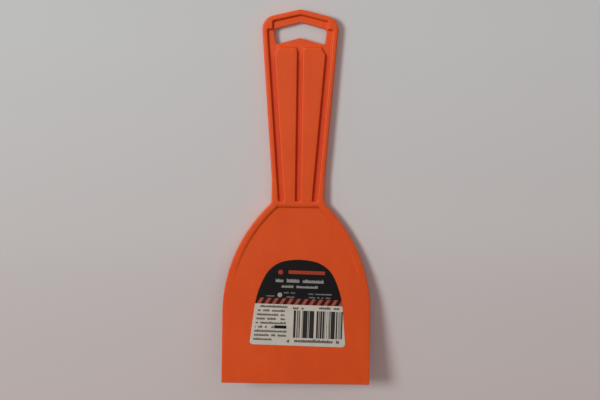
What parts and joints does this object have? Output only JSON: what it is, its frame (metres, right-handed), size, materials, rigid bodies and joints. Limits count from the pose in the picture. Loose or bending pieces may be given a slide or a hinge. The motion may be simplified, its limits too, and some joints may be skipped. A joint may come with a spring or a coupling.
{
  "type": "flexible plastic putty knife",
  "caption": "Flat one-piece plastic putty knife: a thin blade that flexes, curved shoulders, and a ribbed handle with a hanging hole.",
  "frame": {"origin": "on the surface that the tool lies on, under the middle of its box", "axes": "+X across the blade, +Y from the working edge to the hanging end, +Z out of the labelled front face"},
  "size_m": [0.0762, 0.1924, 0.006],
  "materials": {
    "moulded_plastic": "satin moulded polypropylene, orange",
    "printed_label": "printed self-adhesive film, white with a black arch and an orange and black striped band"
  },
  "bodies": {
    "handle": {"handle": "moulded_plastic"},
    "blade": {"blade": "moulded_plastic", "label": "printed_label"}
  },
  "joints": [
    {"name": "blade_flex", "type": "hinge", "parent": "handle", "child": "blade", "pos_m": [0, -0.02825, 0.003], "axis": [1, 0, 0], "range_deg": [-15, 15], "stiffness_Nm_per_rad": 3.9}
  ]
}
